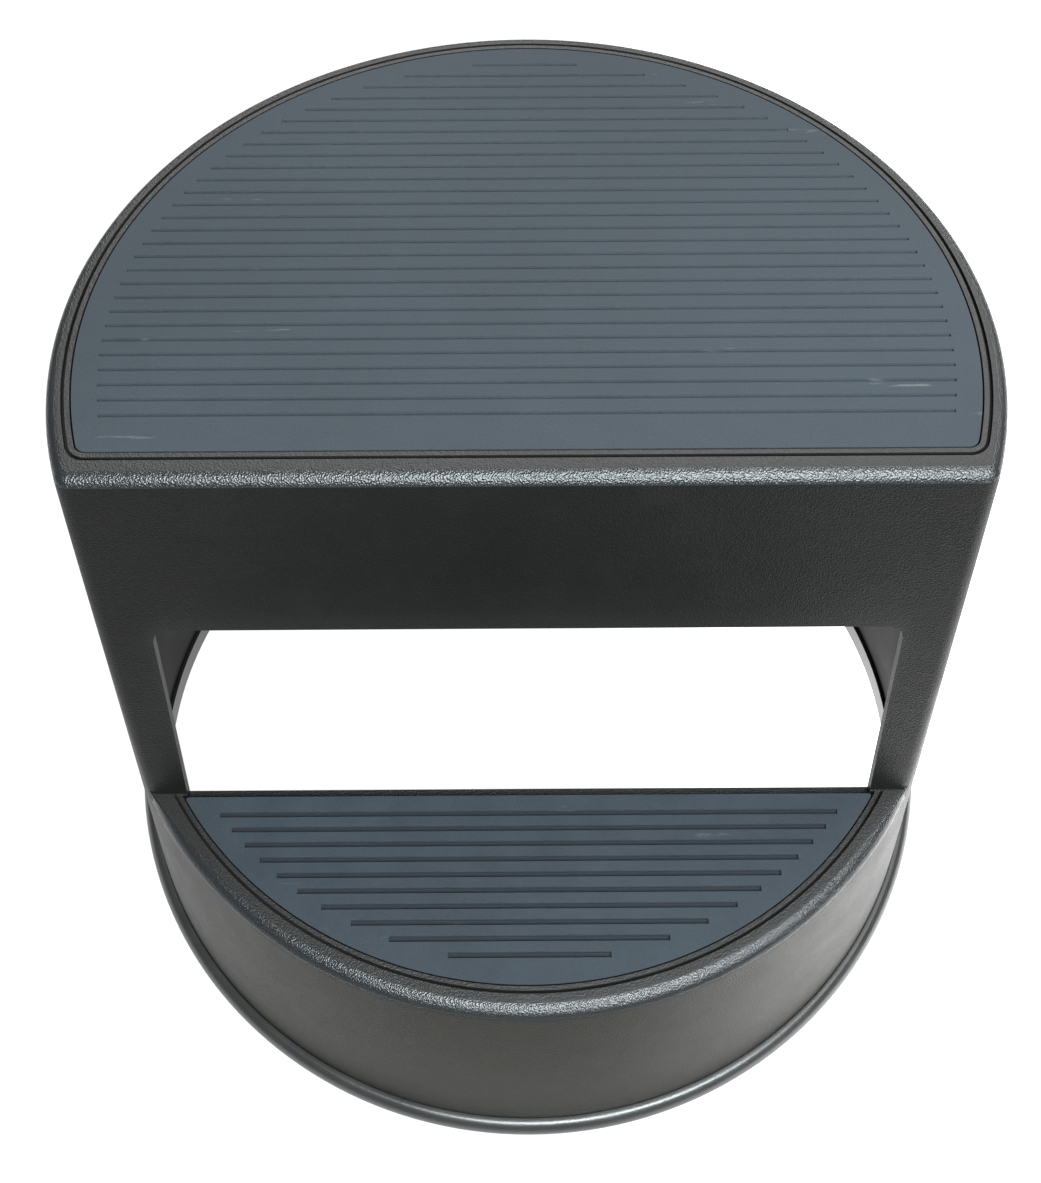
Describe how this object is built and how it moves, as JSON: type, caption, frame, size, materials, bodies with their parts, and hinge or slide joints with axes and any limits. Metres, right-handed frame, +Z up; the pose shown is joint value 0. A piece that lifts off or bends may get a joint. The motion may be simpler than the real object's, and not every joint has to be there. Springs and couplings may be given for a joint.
{
  "type": "step stool",
  "caption": "Round two-step rolling stool: tapered moulded body with an open riser, ribbed treads, soft base ring and sprung swivel casters that retract when stood on",
  "frame": {"origin": "on the floor under the centre of the round base", "axes": "+Z up, front (lower step) toward -Y, +X to the right of a person facing the riser"},
  "size_m": [0.415, 0.415, 0.326],
  "materials": {
    "moulded_body": "satin moulded plastic with a fine leather grain",
    "upper_tread": "matt blue-grey ribbed rubber",
    "lower_tread": "matt blue-grey ribbed rubber",
    "base_ring": "satin soft bumper ring",
    "housing": "zinc-plated drawn steel",
    "screws": "zinc-plated screws",
    "plunger": "ground steel",
    "spring": "oiled spring wire",
    "fork": "zinc-plated pressed steel",
    "pins": "bright turned steel",
    "washer": "natural nylon",
    "wheel_hub": "dark grey nylon",
    "tyre": "black rubber"
  },
  "bodies": {
    "stool": {"base_ring": "base_ring", "caster_housing_left": "housing", "caster_housing_rear": "housing", "caster_housing_right": "housing", "housing_screw_left_1": "screws", "housing_screw_left_2": "screws", "housing_screw_left_3": "screws", "housing_screw_rear_1": "screws", "housing_screw_rear_2": "screws", "housing_screw_rear_3": "screws", "housing_screw_right_1": "screws", "housing_screw_right_2": "screws", "housing_screw_right_3": "screws", "lower_tread": "lower_tread", "moulded_body": "moulded_body", "spring_left": "spring", "spring_rear": "spring", "spring_right": "spring", "upper_tread": "upper_tread"},
    "plunger_unit_rear": {"plunger_rear": "plunger"},
    "fork_unit_rear": {"fork_rear": "fork", "pivot_pin_rear": "pins", "pivot_clip_rear": "pins", "thrust_washer_rear": "washer", "axle_rear": "pins"},
    "wheel_rear": {"wheel_hub_rear": "wheel_hub", "wheel_tyre_rear": "tyre"},
    "plunger_unit_right": {"plunger_right": "plunger"},
    "fork_unit_right": {"fork_right": "fork", "pivot_pin_right": "pins", "pivot_clip_right": "pins", "thrust_washer_right": "washer", "axle_right": "pins"},
    "wheel_right": {"wheel_hub_right": "wheel_hub", "wheel_tyre_right": "tyre"},
    "plunger_unit_left": {"plunger_left": "plunger"},
    "fork_unit_left": {"fork_left": "fork", "pivot_pin_left": "pins", "pivot_clip_left": "pins", "thrust_washer_left": "washer", "axle_left": "pins"},
    "wheel_left": {"wheel_hub_left": "wheel_hub", "wheel_tyre_left": "tyre"}
  },
  "joints": [
    {"name": "plunger_slide_rear", "type": "slide", "parent": "stool", "child": "plunger_unit_rear", "axis": [0, 0, 1], "range_m": [0, 0.007], "stiffness_N_per_m": 4000, "springref_m": -0.01, "deforming": ["spring_rear"]},
    {"name": "caster_swivel_rear", "type": "hinge", "parent": "plunger_unit_rear", "child": "fork_unit_rear", "pos_m": [0, 0.15, 0.045], "axis": [0, 0, 1], "continuous": true},
    {"name": "wheel_spin_rear", "type": "hinge", "parent": "fork_unit_rear", "child": "wheel_rear", "pos_m": [0, 0.162, 0.019], "axis": [1, 0, 0], "continuous": true},
    {"name": "plunger_slide_right", "type": "slide", "parent": "stool", "child": "plunger_unit_right", "axis": [0, 0, 1], "range_m": [0, 0.007], "stiffness_N_per_m": 4000, "springref_m": -0.01, "deforming": ["spring_right"]},
    {"name": "caster_swivel_right", "type": "hinge", "parent": "plunger_unit_right", "child": "fork_unit_right", "pos_m": [0.11147, -0.10037, 0.045], "axis": [0, 0, 1], "continuous": true},
    {"name": "wheel_spin_right", "type": "hinge", "parent": "fork_unit_right", "child": "wheel_right", "pos_m": [0.11147, -0.08837, 0.019], "axis": [1, 0, 0], "continuous": true},
    {"name": "plunger_slide_left", "type": "slide", "parent": "stool", "child": "plunger_unit_left", "axis": [0, 0, 1], "range_m": [0, 0.007], "stiffness_N_per_m": 4000, "springref_m": -0.01, "deforming": ["spring_left"]},
    {"name": "caster_swivel_left", "type": "hinge", "parent": "plunger_unit_left", "child": "fork_unit_left", "pos_m": [-0.11147, -0.10037, 0.045], "axis": [0, 0, 1], "continuous": true},
    {"name": "wheel_spin_left", "type": "hinge", "parent": "fork_unit_left", "child": "wheel_left", "pos_m": [-0.11147, -0.08837, 0.019], "axis": [1, 0, 0], "continuous": true}
  ]
}
